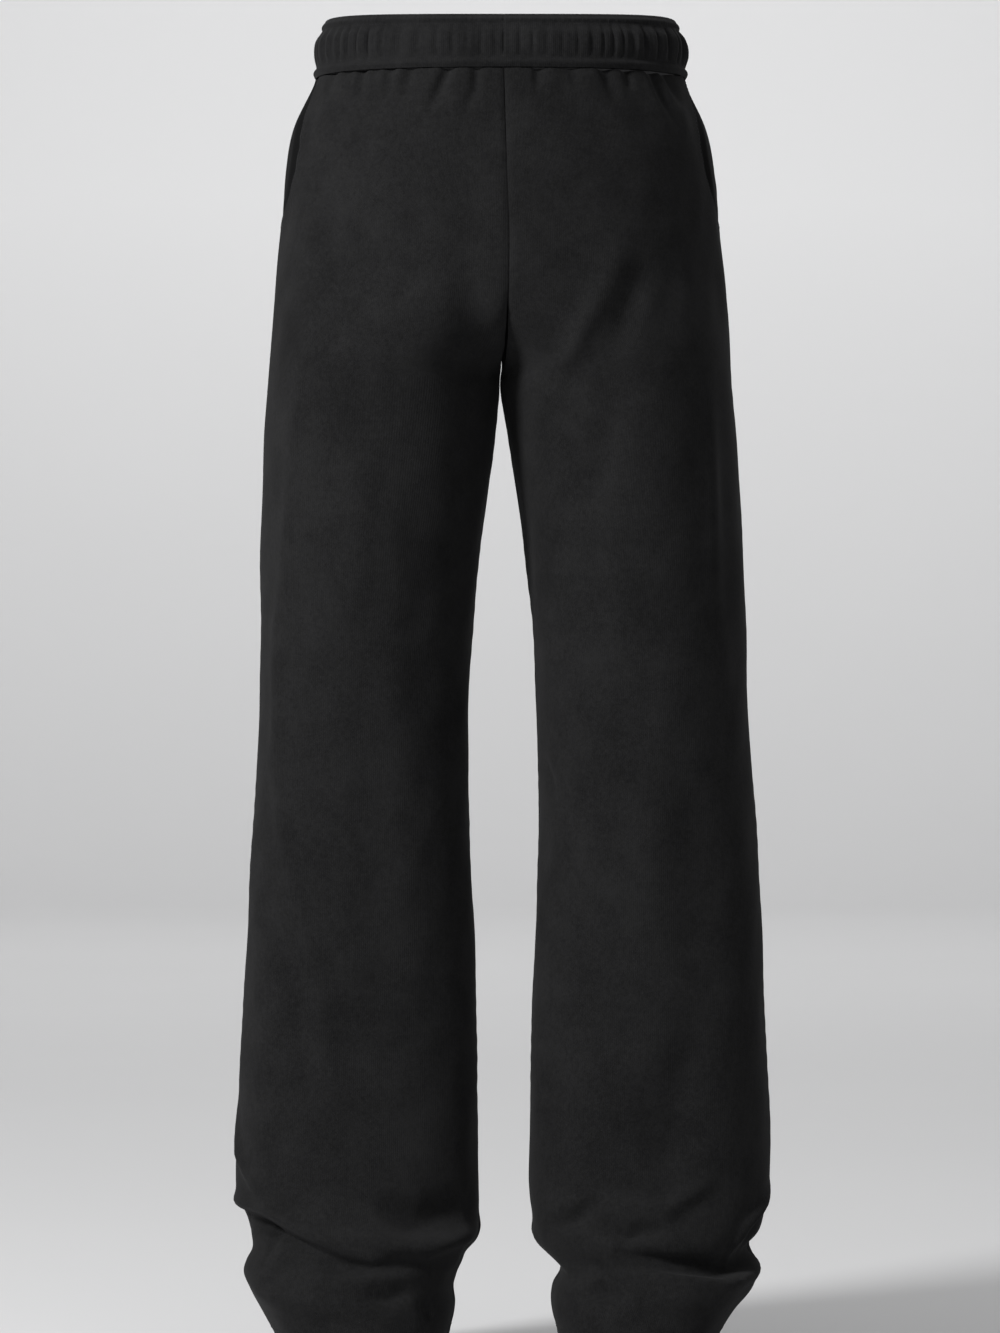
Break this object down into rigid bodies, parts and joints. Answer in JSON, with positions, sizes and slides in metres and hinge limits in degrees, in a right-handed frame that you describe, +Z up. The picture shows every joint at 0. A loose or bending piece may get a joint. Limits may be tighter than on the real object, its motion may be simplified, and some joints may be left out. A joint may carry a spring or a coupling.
{
  "type": "straight-leg sweatpants",
  "caption": "Straight-leg fleece sweatpants with an elastic waistband and side pockets, worn and open, with hems breaking over the instep.",
  "frame": {"origin": "centre of the waist at the middle of the waistband's height, where the wearer's waist holds the garment up", "axes": "+Z up along the body, -Y towards the garment's front, +X towards the wearer's left"},
  "size_m": [0.4282, 0.267, 1.0746],
  "materials": {
    "band_fleece": "charcoal-black fleece casing, matte, gathered on elastic",
    "leg_fleece": "charcoal-black brushed-back fleece, matte fine jersey face",
    "pocket_cloth": "black jersey pocketing, matte"
  },
  "bodies": {
    "root": {"waistband": "band_fleece", "front_right": "leg_fleece", "front_left": "leg_fleece", "back_right": "leg_fleece", "back_left": "leg_fleece", "pocket_right": "pocket_cloth", "pocket_left": "pocket_cloth"}
  },
  "joints": []
}
